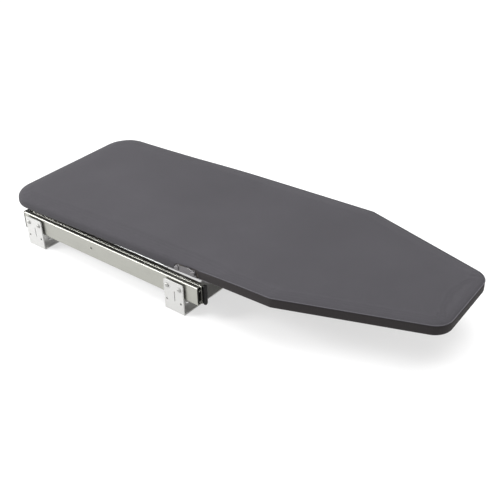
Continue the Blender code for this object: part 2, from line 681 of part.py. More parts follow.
def hinge_ear(name, sign, side, parent):
    """Angle under the panel's edge: base plate, and an ear that carries one hinge pin."""
    pin_x, pin_z = FOLD + sign * HINGE_PIN[0], HINGE_PIN[1]
    base_top = PANEL_Z[0] - GAP
    inner = BOARD_WIDTH / 2 - PANEL_INSET + GAP
    start, end = sorted(FOLD + sign * x for x in EAR_BASE[0])
    bm = bmesh.new()
    low, high = sorted((side * EAR_BASE[1], side * (inner + EAR_SHEET)))
    add_box(bm, (start, low, base_top - EAR_SHEET), (end, high, base_top))
    obj = finish(name, bm, STEEL, parent)
    ear = bmesh.new()
    foot = base_top - EAR_SHEET
    outline = [(pin_x - EAR_RADIUS, foot), (pin_x + EAR_RADIUS, foot)]
    outline += arc(pin_x, pin_z, EAR_RADIUS, 0, 180, 10)
    faces = sorted((side * inner, side * (inner + EAR_SHEET)))
    add_prism(ear, outline, "Y", *faces)
    boolean(obj, ear, "UNION")
    holes = bmesh.new()
    ends = sorted((side * (inner - 0.01), side * (inner + 0.01)))
    add_prism(holes, circle(pin_x, pin_z, RIVET_RADIUS + 0.0001, 24), "Y", *ends)
    for x, y in ear_screw_positions(sign):
        if y * side > 0:
            add_prism(holes, circle(FOLD + x, y, EAR_SCREW_HOLE), "Z", -0.01, 0.004)
    return boolean(obj, holes)


def hinge_link(name, side, parent):
    """Flat link outside the ears: round at its two pins, with a blunt peak between them."""
    reach, height = HINGE_PIN
    (peak_x, peak_z), peak_radius = LINK_APEX
    inner = BOARD_WIDTH / 2 - PANEL_INSET + 2 * GAP + EAR_SHEET
    outline = arc(FOLD + reach, height, LINK_RADIUS, -90, 45, 9)
    outline += arc(FOLD + peak_x, peak_z, peak_radius, 45, 105, 4)
    outline += arc(FOLD - reach, height, LINK_RADIUS, 105, 270, 10)
    bm = bmesh.new()
    add_prism(bm, outline, "Y", *sorted((side * inner, side * (inner + LINK_SHEET))))
    obj = finish(name, bm, STEEL, parent)
    holes = bmesh.new()
    ends = sorted((side * (inner - 0.002), side * (inner + LINK_SHEET + 0.002)))
    for sign in (-1, 1):
        add_prism(holes, circle(FOLD + sign * reach, height, RIVET_RADIUS + GAP, 24), "Y", *ends)
    return boolean(obj, holes)


def hinge_rivets(parent):
    reach, height = HINGE_PIN
    inner = BOARD_WIDTH / 2 - PANEL_INSET + GAP
    head = inner + EAR_SHEET + LINK_SHEET + 2 * GAP
    seats = [((FOLD + sign * reach, side * head, height), (0, side, 0))
             for side in SIDES.values() for sign in (-1, 1)]
    steps = pan_head(0.0042, 0.0015, RIVET_RADIUS, head - inner - 0.0001)
    fasteners("hinge_rivet", steps, seats, parent=parent, count=24)


def empty(name, location, turn=0.0):
    obj = bpy.data.objects.new(name, None)
    bpy.context.scene.collection.objects.link(obj)
    obj.location = location
    obj.rotation_euler = (0, 0, turn)
    return obj


def main():
    for obj in list(bpy.data.objects):
        bpy.data.objects.remove(obj, do_unlink=True)
    rails()
    for name, centre in BRACKET_CENTRES.items():
        bracket(name, centre)
    bracket_screws()
    carriage_pan()
    carriage_screws()
    straight = empty("pivot_axis", (PIVOT_X, 0, BOARD_Z))
    swivel_lower_plate(straight)
    swivel_lower_screws(straight)
    swivel_race(straight)
    pivot(straight)
    turned = empty("board_axis", (PIVOT_X, 0, BOARD_Z), REST_SWIVEL)
    swivel_upper_plate(turned)
    swivel_upper_screws(turned)
    swivel_stop_pin(turned)
    for word, front in (("rear", False), ("front", True)):
        board_half(word, front, turned)
        sign = 1 if front else -1
        for side_word, side in SIDES.items():
            hinge_ear(f"{word}_hinge_ear_{side_word}", sign, side, turned)
    for side_word, side in SIDES.items():
        hinge_link(f"hinge_link_{side_word}", side, turned)
    hinge_rivets(turned)


main()
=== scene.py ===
"""Looks of the pull-out folding ironing board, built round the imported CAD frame."""
import json
import math

import bmesh
import bpy
import numpy as np
from mathutils import Matrix, Vector, noise


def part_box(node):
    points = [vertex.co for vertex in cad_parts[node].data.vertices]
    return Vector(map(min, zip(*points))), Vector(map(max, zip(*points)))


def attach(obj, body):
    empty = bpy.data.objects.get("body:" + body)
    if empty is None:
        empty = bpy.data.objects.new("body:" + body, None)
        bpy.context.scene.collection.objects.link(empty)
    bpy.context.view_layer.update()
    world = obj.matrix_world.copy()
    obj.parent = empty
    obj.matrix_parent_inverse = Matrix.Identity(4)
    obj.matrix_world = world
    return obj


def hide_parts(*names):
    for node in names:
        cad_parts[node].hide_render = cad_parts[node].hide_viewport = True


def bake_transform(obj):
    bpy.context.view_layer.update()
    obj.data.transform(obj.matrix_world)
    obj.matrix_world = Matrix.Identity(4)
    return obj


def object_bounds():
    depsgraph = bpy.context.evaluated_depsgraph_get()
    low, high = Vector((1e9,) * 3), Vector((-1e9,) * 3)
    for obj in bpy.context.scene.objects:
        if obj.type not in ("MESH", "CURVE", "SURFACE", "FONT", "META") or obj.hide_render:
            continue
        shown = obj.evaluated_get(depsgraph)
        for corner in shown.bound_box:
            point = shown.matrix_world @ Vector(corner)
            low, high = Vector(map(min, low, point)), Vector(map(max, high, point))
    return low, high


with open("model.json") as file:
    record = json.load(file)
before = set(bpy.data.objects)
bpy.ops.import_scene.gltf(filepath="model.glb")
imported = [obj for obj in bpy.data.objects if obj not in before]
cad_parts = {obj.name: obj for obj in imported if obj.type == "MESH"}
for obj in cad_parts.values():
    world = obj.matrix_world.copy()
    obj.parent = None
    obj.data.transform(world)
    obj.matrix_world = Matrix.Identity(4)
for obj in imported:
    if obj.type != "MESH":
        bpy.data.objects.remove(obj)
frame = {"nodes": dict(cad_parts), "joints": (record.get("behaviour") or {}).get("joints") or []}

CAD_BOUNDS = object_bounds()

# ---- places read from the frame ------------------------------------------------------
JOINTS = {joint["name"]: joint for joint in frame["joints"]}
PIVOT = Vector(JOINTS["board_swivel"]["pos_m"])
FOLD_AXIS = Vector(JOINTS["fold_lower"]["axis"])
REST_SWIVEL = math.atan2(FOLD_AXIS.x, -FOLD_AXIS.y)
BOARD = Matrix.Translation(PIVOT) @ Matrix.Rotation(REST_SWIVEL, 4, "Z")
LOWER_PIN = BOARD.inverted() @ Vector(JOINTS["fold_lower"]["pos_m"])
UPPER_PIN = BOARD.inverted() @ Vector(JOINTS["fold_upper"]["pos_m"])
FOLD = (LOWER_PIN.x + UPPER_PIN.x) / 2       # fold line, along the board from its pivot

# ---- board, in its own frame: x along it from the pivot, z from its underside ----------
BOARD_LENGTH = 0.8045
BOARD_WIDTH = 0.305
SHOULDER = 0.570
NOSE_WIDTH = 0.149
PIVOT_FROM_REAR = 0.2497
REAR_RADIUS, SHOULDER_RADIUS, NOSE_RADIUS = 0.050, 0.015, 0.031
SMALLEST_RADIUS = 0.001
FOLD_FROM_REAR = FOLD + PIVOT_FROM_REAR
SOFT_EDGE_END = FOLD_FROM_REAR - 0.02        # the pad's edge is a soft roll behind this point
CRISP_EDGE_START = FOLD_FROM_REAR + 0.11     # and a crisp sewn edge beyond this one
FAR_SOFT_END, FAR_CRISP_START = 0.06, 0.34   # the far side turns crisp sooner and more slowly

# The pad's section as (inset from the edge, height above the underside). The rim, from the border of
# the top face down to the hem, comes in two forms; the turned-under hem and the inside follow it.
CRISP_RIM = [(0.0165, 0.0202), (0.0120, 0.0201), (0.0080, 0.0197), (0.0050, 0.0189), (0.0032, 0.0178),
             (0.0024, 0.0169), (0.0014, 0.0165), (0.0003, 0.0158), (0.0000, 0.0095), (0.0000, 0.0040),
             (0.0003, 0.0012), (0.0013, 0.0002)]
SOFT_RIM = [(0.0165, 0.0199), (0.0130, 0.0192), (0.0100, 0.0183), (0.0074, 0.0172), (0.0052, 0.0160),
            (0.0035, 0.0147), (0.0022, 0.0133), (0.0008, 0.0111), (0.0002, 0.0078), (0.0000, 0.0040),
            (0.0004, 0.0012), (0.0014, 0.0002)]
SEAM_RING = 6                                # the ring of either rim that the piping is sewn along
HEM_SECTION = [(0.0035, -0.0001), (0.0085, -0.0002), (0.0135, -0.0002), (0.0168, 0.0000),
               (0.0176, 0.0003), (0.0184, 0.0000), (0.0200, -0.0001), (0.0206, 0.0004), (0.0200, 0.0010)]
INNER_SECTION = [(0.0100, 0.0011), (0.0020, 0.0011), (0.0010, 0.0016), (0.0010, 0.0112),
                 (0.0018, 0.0118), (0.0060, 0.0118)]
HEM_BULGE = 0.0002                           # how far the hem's stitching lets it bulge down
PAINTED_SHADE_HEIGHTS = (0.0006, 0.0164)                # heights between which the front half's edge gets a darker cloth: painted shade
PAINTED_SHADE_TILT = 0.6                        # a face whose normal rises more isn't part of that edge
PIPING_RADIUS, PIPING_SIDES = 0.0008, 8
PIPING_OUT, PIPING_UP = 0.0007, 0.0002       # the piping's middle, from the seam
PIPING_SUNK = 0.0018                         # and how far into the soft roll it sinks
STITCH_INSET, STITCH_PITCH, STITCH_LENGTH, STITCH_Z = 0.0176, 0.0042, 0.0030, -0.0001
THREAD_RADIUS, THREAD_SIDES = 0.00028, 6
# Sections of one stitch: place along its length, share of the thread's radius, rise into the cloth.
STITCH_SECTIONS = ((-0.5, 0.3, 0.0003), (-0.35, 1, 0.0), (0.35, 1, 0.0), (0.5, 0.3, 0.0003))
# Mesh steps along each stretch of half the outline, from the middle of the rear to the nose.
STEPS = {"rear": 21, "rear_corner": 16, "rear_side": 73, "front_side": 31, "shoulder": 4, "taper": 45,
         "nose_corner": 16, "nose": 21}
ACROSS = 2 * (STEPS["rear"] + STEPS["rear_corner"] // 2)    # mesh steps over the top, near to far
CORNER_REACH = 22                            # mesh steps over which the corners' curve fades out
HEM_OPENING = (0.030, 0.047, 0.0014)         # depth from the edge, half length, height
RIM_OPENING_DEPTH = 0.0017
# Opening in the rim round a hinge link: from the fold line, above the underside.
RIM_OPENING = [(-0.0225, -0.010), (-0.0225, 0.0080), (-0.0190, 0.0112), (-0.0160, 0.0120),
               (0.0030, 0.0148), (0.0095, 0.0148), (0.0220, 0.0105), (0.0255, 0.0040), (0.0255, -0.010)]
OVERCUT = 0.010                              # how far a cutting tool stands past what it cuts
HALF_CUTTER = (1, 1, 0.1)                    # reach of the tool that cuts a piece at the fold line

# ---- the pad's cloth -----------------------------------------------------------------
HELD_MARGIN = 0.0006                         # the simulation holds all up to this far above the seam
PRESSURE, CLOTH_QUALITY, CLOTH_FRAMES = 4.0, 5, 20
MAX_SWELL = 0.0012                           # the most that the simulation may move a point
HOLLOWS_ABOVE, HOLLOW = 0.0164, 0.0002       # the top has hollows above this height, this deep
PUCKER_BAND, PUCKER = (0.0150, 0.0200), 0.0003    # the seam's puckers: between which heights, how deep
# How many of these irregularities there are to a metre, along the board and across it.
BROAD_HOLLOWS, SMALL_HOLLOWS, PUCKERS, HEM_BULGES = (7.0, 11.0), (23.0, 31.0), (95.0, 95.0), (70, 70)
SMOOTH_UP_TO = 50                            # degrees; a sharper edge of cloth is shaded hard


def half_outline(inset):
    """Near half of the outline, set in from its edge, from the middle of the rear to the nose."""
    wide, nose = BOARD_WIDTH / 2, NOSE_WIDTH / 2
    corners = [Vector((0, 0)), Vector((0, -wide)), Vector((SHOULDER, -wide)),
               Vector((BOARD_LENGTH, -nose)), Vector((BOARD_LENGTH, 0))]
    outward = []
    for here, there in zip(corners, corners[1:]):
        run = (there - here).normalized()
        outward.append(Vector((run.y, -run.x)))
    arcs = []
    rounds = ((REAR_RADIUS, STEPS["rear_corner"]), (SHOULDER_RADIUS, STEPS["shoulder"]),
              (NOSE_RADIUS, STEPS["nose_corner"]))
    for corner, before, after, (radius, steps) in zip(corners[1:4], outward, outward[1:], rounds):
        bisector = (before + after).normalized()
        rounding = max(radius - inset, SMALLEST_RADIUS)
        centre = corner - bisector * ((inset + rounding) / bisector.dot(before))
        turn = math.acos(before.dot(after))
        arcs.append([centre + Matrix.Rotation(turn * i / steps, 2) @ before * rounding
                     for i in range(steps + 1)])
    fold = Vector((FOLD_FROM_REAR, inset - wide))
    stretches = [
        straight(Vector((inset, 0)), arcs[0][0], STEPS["rear"]), arcs[0],
        straight(arcs[0][-1], fold, STEPS["rear_side"]),
        straight(fold, arcs[1][0], STEPS["front_side"]), arcs[1],
        straight(arcs[1][-1], arcs[2][0], STEPS["taper"]), arcs[2],
        straight(arcs[2][-1], Vector((BOARD_LENGTH - inset, 0)), STEPS["nose"])]
    return [point for stretch in stretches for point in stretch[:-1]] + stretches[-1][-1:]


def straight(start, end, steps):
    """Points of a straight stretch, both ends included."""
    return [start.lerp(end, i / steps) for i in range(steps + 1)]


def outline(inset):
    """Whole outline as a loop of points, from the middle of the rear edge along the near side."""
    near = half_outline(inset)
    far = [Vector((p.x, -p.y)) for p in near[-2:0:-1]]
    return [Vector((p.x - PIVOT_FROM_REAR, p.y)) for p in near + far]


def smoothstep(value, low, high):
    """Share that rises smoothly from 0 at low to 1 at high."""
    t = min(1.0, max(0.0, (value - low) / (high - low)))
    return t * t * (3 - 2 * t)


def rim_ring(number, outwards=0.0, upwards=0.0, sunk=0.0):
    """Ring of the rim: a soft roll at the rear, where it may be sunk, then a crisp sewn edge."""
    (crisp_inset, crisp_z), (soft_inset, soft_z) = CRISP_RIM[number], SOFT_RIM[number]
    points = []
    for crisp, soft in zip(outline(crisp_inset - outwards), outline(soft_inset - outwards + sunk)):
        along, far = crisp.x + PIVOT_FROM_REAR, smoothstep(crisp.y, 0, BOARD_WIDTH / 4)
        share = smoothstep(along, SOFT_EDGE_END, CRISP_EDGE_START)
        share += (smoothstep(along, FAR_SOFT_END, FAR_CRISP_START) - share) * far
        flat = soft.lerp(crisp, share)
        height = soft_z - sunk / 2
        points.append(Vector((flat.x, flat.y, height + (crisp_z - height) * share + upwards)))
    return points


# ---- mesh tools ----------------------------------------------------------------------
def turns(count):
    """Angles of count equal steps round a circle."""
    return [2 * math.pi * i / count for i in range(count)]


def shade_smooth(mesh, up_to):
    """Smooth shading, except over edges that bend by more than up_to degrees."""
    mesh.shade_smooth()
    mesh.set_sharp_from_angle(angle=math.radians(up_to))


def make_object(name, bm, material, place=BOARD, smooth_up_to=None):
    """Turn a bmesh into a named object with one material; place takes it into the frame."""
    bmesh.ops.recalc_face_normals(bm, faces=bm.faces)
    mesh = bpy.data.meshes.new(name)
    bm.to_mesh(mesh)
    bm.free()
    mesh.transform(place)
    if smooth_up_to is not None:
        shade_smooth(mesh, smooth_up_to)
    mesh.materials.append(material)
    obj = bpy.data.objects.new(name, mesh)
    bpy.context.scene.collection.objects.link(obj)
    return obj


def bridge(bm, a, b):
    """Quads between two closed loops of as many points."""
    for i, _ in enumerate(a):
        j = (i + 1) % len(a)
        bm.faces.new((a[i], a[j], b[j], b[i]))


def loft(bm, rings, close_section=False, cap=False):
    """Join rings of equal length; close_section also joins the last ring to the first."""
    made = [[bm.verts.new(point) for point in ring] for ring in rings]
    pairs = list(zip(made, made[1:]))
    if close_section:
        pairs.append((made[-1], made[0]))
    for a, b in pairs:
        bridge(bm, a, b)
    if cap:
        bm.faces.new(made[0])
        bm.faces.new(made[-1])
    return made


def add_box(bm, low, high):
    """Add an upright box between two corners."""
    matrix = Matrix.Translation((Vector(low) + Vector(high)) / 2)
    size = Matrix.Diagonal([b - a for a, b in zip(low, high)] + [1])
    bmesh.ops.create_cube(bm, size=1, matrix=matrix @ size)


def bake(obj):
    """Replace an object's mesh with what its modifiers make of it."""
    bpy.context.view_layer.update()
    graph = bpy.context.evaluated_depsgraph_get()
    mesh = bpy.data.meshes.new_from_object(obj.evaluated_get(graph), depsgraph=graph)
    obj.modifiers.clear()
    obj.data = mesh


def cut_away(obj, bm):
    """Boolean difference with a tool body given in the board's frame."""
    mesh = bpy.data.meshes.new("cutter")
    bm.to_mesh(mesh)
    bm.free()
    mesh.transform(BOARD)
    cutter = bpy.data.objects.new("cutter", mesh)
    bpy.context.scene.collection.objects.link(cutter)
    modifier = obj.modifiers.new("Cut", "BOOLEAN")
    modifier.operation = "DIFFERENCE"
    modifier.solver = "MANIFOLD"
    modifier.object = cutter
    bake(obj)
    bpy.data.objects.remove(cutter)


def keep_half(obj, front):
    """Cut a whole-board piece at the fold line and keep its rear or front part."""
    tool = bmesh.new()
    long, wide, high = HALF_CUTTER
    ends = (-long, FOLD) if front else (FOLD, long)
    add_box(tool, (ends[0], -wide, -high), (ends[1], wide, high))
    cut_away(obj, tool)


def clear_hinges(obj):
    """Cut the openings for the hinge ears, links and base plates, as in the CAD cover."""
    edge = BOARD_WIDTH / 2
    depth, half_length, high = HEM_OPENING
    hem = [(-half_length, -OVERCUT), (half_length, -OVERCUT), (half_length, high), (-half_length, high)]
    for reach, shape in ((depth, hem), (RIM_OPENING_DEPTH, RIM_OPENING)):
        for side in (-1, 1):
            tool = bmesh.new()
            loops = [[(FOLD + x, side * y, z) for x, z in shape] for y in (edge - reach, edge + OVERCUT)]
            loft(tool, loops, cap=True)
            bmesh.ops.recalc_face_normals(tool, faces=tool.faces)
            cut_away(obj, tool)


# ---- materials -----------------------------------------------------------------------
WAVE_PERIOD = 0.314                          # metres between the bands of a wave texture of scale 1
WORN_EDGE, BEVEL_SAMPLES = 0.0006, 6         # radius that coated, drawn and moulded edges seem to have


def new_material(name, colour, roughness, metallic=0.0, **inputs):
    """Principled material; returns it with its tree and shader. Constants sit on the sockets."""
    material = bpy.data.materials.new(name)
    material.use_nodes = True
    tree = material.node_tree
    shader = tree.nodes["Principled BSDF"]
    shader.inputs["Base Color"].default_value = (*colour, 1)
    shader.inputs["Roughness"].default_value = roughness
    shader.inputs["Metallic"].default_value = metallic
    for socket, value in inputs.items():
        shader.inputs[socket.replace("_", " ")].default_value = value
    return material, tree, shader


def coordinates(tree, scale=(1, 1, 1), turn=0.0):
    """Object coordinates, turned about the upright and then stretched."""
    source = tree.nodes.new("ShaderNodeTexCoord")
    mapping = tree.nodes.new("ShaderNodeMapping")
    mapping.inputs["Scale"].default_value = scale
    mapping.inputs["Rotation"].default_value = (0, 0, turn)
    tree.links.new(source.outputs["Object"], mapping.inputs["Vector"])
    return mapping.outputs["Vector"]


def noise_texture(tree, vector, scale, detail=3.0, roughness=0.5):
    node = tree.nodes.new("ShaderNodeTexNoise")
    node.inputs["Scale"].default_value = scale
    node.inputs["Detail"].default_value = detail
    node.inputs["Roughness"].default_value = roughness
    tree.links.new(vector, node.inputs["Vector"])
    return node.outputs["Fac"]


def wave_texture(tree, vector, direction, scale, distortion=0.6):
    node = tree.nodes.new("ShaderNodeTexWave")
    node.bands_direction = direction
    node.inputs["Scale"].default_value = scale
    node.inputs["Distortion"].default_value = distortion
    node.inputs["Detail"].default_value = 1.0
    tree.links.new(vector, node.inputs["Vector"])
    return node.outputs["Fac"]


def combine(tree, operation, a, b):
    """Maths node on two values, each a socket or a number."""
    node = tree.nodes.new("ShaderNodeMath")
    node.operation = operation
    for socket, value in zip(node.inputs, (a, b)):
        if isinstance(value, (int, float)):
            socket.default_value = value
        else:
            tree.links.new(value, socket)
    return node.outputs["Value"]


def weighted_sum(tree, *parts):
    """Sum of sockets, each given with its weight."""
    total = None
    for socket, weight in parts:
        part = combine(tree, "MULTIPLY", socket, weight)
        total = part if total is None else combine(tree, "ADD", total, part)
    return total


def tinted(colour, gain):
    return tuple(min(1.0, channel * gain) for channel in colour)


def vary_colour(tree, shader, colour, factor, *tints):
    """Base colour that runs through tints of a colour, each given as (position, gain)."""
    node = tree.nodes.new("ShaderNodeValToRGB")
    elements = node.color_ramp.elements
    while len(elements) < len(tints):
        elements.new(0.5)
    for element, (position, gain) in zip(elements, tints):
        element.position = position
        element.color = (*tinted(colour, gain), 1)
    tree.links.new(factor, node.inputs["Fac"])
    tree.links.new(node.outputs["Color"], shader.inputs["Base Color"])


def vary_roughness(tree, shader, factor, low, high):
    node = tree.nodes.new("ShaderNodeMapRange")
    node.inputs["To Min"].default_value = low
    node.inputs["To Max"].default_value = high
    tree.links.new(factor, node.inputs["Value"])
    tree.links.new(node.outputs["Result"], shader.inputs["Roughness"])


def add_bump(tree, shader, height, strength, distance, edge_radius=None):
    """Bump from a height; edge_radius also shades hard edges as if they were slightly rounded."""
    node = tree.nodes.new("ShaderNodeBump")
    node.inputs["Strength"].default_value = strength
    node.inputs["Distance"].default_value = distance
    tree.links.new(height, node.inputs["Height"])
    if edge_radius is not None:
        edges = tree.nodes.new("ShaderNodeBevel")
        edges.samples = BEVEL_SAMPLES
        edges.inputs["Radius"].default_value = edge_radius
        tree.links.new(edges.outputs["Normal"], node.inputs["Normal"])
    tree.links.new(node.outputs["Normal"], shader.inputs["Normal"])


def cloth_material(name, colour, pitch=0.0009, crease=1.0):
    """Plain-weave cotton: warp and weft threads, slubs, soft shading from handling."""
    material, tree, shader = new_material(name, colour, 0.82, Specular_IOR_Level=0.1, Sheen_Weight=0.04,
                                          Sheen_Roughness=0.5)
    flat = coordinates(tree, turn=-REST_SWIVEL)
    warp, weft, rise = (wave_texture(tree, flat, axis, WAVE_PERIOD / pitch) for axis in "XYZ")
    crossed = combine(tree, "MULTIPLY", warp, weft)
    weave = combine(tree, "MAXIMUM", crossed, combine(tree, "MULTIPLY", rise, 0.5))
    drawn_out = coordinates(tree, (18, 140, 140), -REST_SWIVEL)
    slub = noise_texture(tree, drawn_out, scale=6.0, detail=2.0)
    mottle = noise_texture(tree, flat, scale=9.0, detail=4.0, roughness=0.55)
    tone = weighted_sum(tree, (slub, 0.35), (mottle, 0.30), (weave, 0.35))
    vary_colour(tree, shader, colour, tone, (0.20, 0.80), (0.50, 1), (0.80, 1.22))
    vary_roughness(tree, shader, slub, 0.74, 0.92)
    folds = noise_texture(tree, flat, scale=14.0, detail=3.0, roughness=0.45)
    height = weighted_sum(tree, (weave, 1), (folds, 2.0 * crease))
    add_bump(tree, shader, height, strength=0.5, distance=0.00018)
    return material


def coated_material(name, colour):
    """Powder coat: fine orange peel and a slightly uneven sheen."""
    material, tree, shader = new_material(name, colour, 0.42)
    flat = coordinates(tree)
    peel = noise_texture(tree, flat, scale=900.0, detail=2.0)
    patches = noise_texture(tree, flat, scale=22.0, detail=5.0, roughness=0.6)
    vary_colour(tree, shader, colour, patches, (0.3, 0.95), (0.6, 1), (0.9, 1.03))
    vary_roughness(tree, shader, patches, 0.34, 0.52)
    add_bump(tree, shader, peel, strength=0.25, distance=0.00008, edge_radius=WORN_EDGE)
    return material


def drawn_material(name, colour, roughness, along="X", contrast=0.12):
    """Plated steel with drawing lines along one direction and faint handling marks."""
    material, tree, shader = new_material(name, colour, roughness, metallic=1.0)
    stretch = [1 if axis == along else 260 for axis in "XYZ"]
    lines = noise_texture(tree, coordinates(tree, stretch), scale=5.0, detail=3.0, roughness=0.6)
    marks = noise_texture(tree, coordinates(tree), scale=35.0, detail=6.0, roughness=0.65)
    tone = weighted_sum(tree, (lines, 0.6), (marks, 0.4))
    vary_colour(tree, shader, colour, tone, (0.25, 1 - contrast), (0.5, 1), (0.8, 1 + contrast))
    vary_roughness(tree, shader, tone, roughness - 0.03, roughness + 0.05)
    add_bump(tree, shader, lines, strength=0.05, distance=0.00003, edge_radius=WORN_EDGE)
    return material


def spangle_material(name, colour, roughness):
    """Galvanised sheet: crystals of slightly different grey."""
    material, tree, shader = new_material(name, colour, roughness, metallic=0.9)
    cells = tree.nodes.new("ShaderNodeTexVoronoi")
    cells.inputs["Scale"].default_value = 130.0
    tree.links.new(coordinates(tree), cells.inputs["Vector"])
    single = tree.nodes.new("ShaderNodeSeparateColor")
    tree.links.new(cells.outputs["Color"], single.inputs["Color"])
    fine = noise_texture(tree, coordinates(tree), scale=300.0, detail=3.0)
    tone = weighted_sum(tree, (single.outputs["Red"], 0.6), (fine, 0.4))
    vary_colour(tree, shader, colour, tone, (0.1, 0.82), (0.5, 1), (0.9, 1.18))
    vary_roughness(tree, shader, tone, roughness - 0.08, roughness + 0.12)
    return material


def plastic_material(name, colour, roughness):
    """Moulded plastic with a fine spark-eroded grain."""
    material, tree, shader = new_material(name, colour, roughness, Specular_IOR_Level=0.2)
    grain = noise_texture(tree, coordinates(tree), scale=1400.0, detail=2.0)
    patches = noise_texture(tree, coordinates(tree), scale=60.0, detail=4.0)
    vary_colour(tree, shader, colour, patches, (0.3, 0.85), (0.7, 1.2))
    vary_roughness(tree, shader, patches, roughness - 0.06, roughness + 0.10)
    add_bump(tree, shader, grain, strength=0.3, distance=0.00006, edge_radius=WORN_EDGE)
    return material


def fibreboard_material(name, colour):
    """Pressed wood fibres: short flecks over a warm brown."""
    material, tree, shader = new_material(name, colour, 0.8)
    drawn_out = coordinates(tree, (420, 900, 900))
    flecks = noise_texture(tree, drawn_out, scale=1.0, detail=6.0, roughness=0.7)
    clouds = noise_texture(tree, coordinates(tree), scale=12.0, detail=3.0)
    tone = weighted_sum(tree, (flecks, 0.75), (clouds, 0.25))
    vary_colour(tree, shader, colour, tone, (0.30, 0.62), (0.50, 1), (0.72, 1.35))
    vary_roughness(tree, shader, flecks, 0.72, 0.92)
    add_bump(tree, shader, flecks, strength=0.35, distance=0.0002)
    return material


COTTON = (0.042, 0.0402, 0.0452)
# Darker cotton for the front half's edge: painted shade, not a different fabric.
PAINTED_SHADE_COTTON = (0.0235, 0.0210, 0.0215)
MATERIALS = {
    "cover": cloth_material("cover_cotton", COTTON),
    # painted shade: the darker cloth for the front half's edge
    "side": cloth_material("rim_painted_shade_cotton", PAINTED_SHADE_COTTON),
    "piping": cloth_material("piping_cotton", tinted(COTTON, 1.6), pitch=0.0007, crease=0.2),
    "thread": cloth_material("sewing_thread", tinted(COTTON, 1.6), pitch=0.0005, crease=0.0),
    "coated": coated_material("bracket_coating", (0.42, 0.42, 0.41)),
    "rail": drawn_material("rail_zinc", (0.35, 0.35, 0.32), 0.34),
    "hinge": drawn_material("hinge_zinc", (0.15, 0.145, 0.15), 0.45, contrast=0.30),
    "bright": drawn_material("fastener_zinc", (0.72, 0.72, 0.72), 0.24, "Z", contrast=0.10),
    "screw": drawn_material("bracket_screw_zinc", (0.34, 0.34, 0.33), 0.42, "Z", contrast=0.15),
    "galvanised": spangle_material("carriage_galvanised", (0.50, 0.51, 0.51), 0.42),
    "black": plastic_material("black_moulding", (0.003, 0.003, 0.003), 0.45),
    "cage": plastic_material("cage_moulding", (0.42, 0.42, 0.40), 0.5),
    "fibreboard": fibreboard_material("panel_fibreboard", (0.075, 0.062, 0.052)),
}
NODE_MATERIALS = {
    "coated": ("front_bracket", "rear_bracket"),
    "rail": ("outer_rail", "middle_rail", "inner_rail"),
    "hinge": ("rear_hinge_ear", "front_hinge_ear", "hinge_link", "hinge_rivet"),
    "screw": ("bracket_screw",),
    "bright": ("carriage_screw", "swivel_lower_screw", "swivel_upper_screw",
               "swivel_stop_pin", "pivot_bolt", "pivot_nut"),
    "galvanised": ("carriage_pan", "swivel_lower_plate", "swivel_upper_plate", "pivot_washer"),
    "black": ("end_cap", "rail_stop"),
    "cage": ("outer_cage", "inner_cage", "swivel_ball_ring"),
    "fibreboard": ("rear_panel", "front_panel"),
}


def dress_cad_nodes():
    """Give each CAD node the material listed for the start of its name."""
    for key, prefixes in NODE_MATERIALS.items():
        for name, obj in frame["nodes"].items():
            if name.startswith(prefixes):
                obj.data.materials.clear()
                obj.data.materials.append(MATERIALS[key])


# ---- padded cover --------------------------------------------------------------------
def ripple(x, y, waves, layer):
    """Smooth noise over the board, so many waves to a metre along it and across it."""
    return noise.noise((x * waves[0], y * waves[1], layer))


def hem_ring(inset, height):
    """Ring of the turned-under hem, with the small bulges that its stitching leaves."""
    points = []
    for i, p in enumerate(outline(inset)):
        wave = ripple(p.x, p.y, HEM_BULGES, inset * 90) + 0.5 * math.sin(i * 1.7)
        points.append(Vector((p.x, p.y, height - HEM_BULGE * max(wave, 0.0))))
    return points


def fill_top(bm, border):
    """Quads inside the top ring; one row of points lies along the fold line."""
    half, count = ACROSS // 2, len(border)
    along = (count - 2 * ACROSS) // 2
    rear = [border[(half - j) % count] for j in range(ACROSS + 1)]
    nose = [border[half + along + j] for j in range(ACROSS + 1)]
    rows = [rear]
    for i in range(1, along):
        near, far = border[half + i], border[(half + 2 * along + ACROSS - i) % count]
        from_rear = 1 - smoothstep(i, 0, CORNER_REACH)
        from_nose = 1 - smoothstep(along - i, 0, CORNER_REACH)
        row = [near]
        for j in range(1, ACROSS):
            share = j / ACROSS
            place = near.co.lerp(far.co, share)
            for weight, end in ((from_rear, rear), (from_nose, nose)):
                place += weight * (end[j].co - end[0].co.lerp(end[-1].co, share))
            row.append(bm.verts.new(place))
        rows.append(row + [far])
    rows.append(nose)
    for a, b in zip(rows, rows[1:]):
        for j in range(ACROSS):
            bm.faces.new((a[j], b[j], b[j + 1], a[j + 1]))


def pad_form():
    """Closed body of foam and cover that wraps the panels, before it is cut at the fold line."""
    bm = bmesh.new()
    rings = [rim_ring(number) for number in range(len(CRISP_RIM))]
    rings += [hem_ring(inset, z) for inset, z in HEM_SECTION]
    rings += [[(p.x, p.y, z) for p in outline(inset)] for inset, z in INNER_SECTION]
    made = loft(bm, rings)
    fill_top(bm, made[0])
    inner = made[-1]                         # the inside closes flat, with quads from side to side
    half = len(inner) // 2
    bm.faces.new((inner[0], inner[1], inner[-1]))
    for k in range(1, half - 1):
        bm.faces.new((inner[k], inner[k + 1], inner[-k - 1], inner[-k]))
    bm.faces.new((inner[half - 1], inner[half], inner[half + 1]))
    return make_object("pad_form", bm, MATERIALS["cover"], Matrix.Identity(4))


def points_of(mesh):
    """The mesh's vertices as an array of rows x, y, z."""
    points = np.empty(len(mesh.vertices) * 3, np.float32)
    mesh.vertices.foreach_get("co", points)
    return points.reshape(-1, 3)


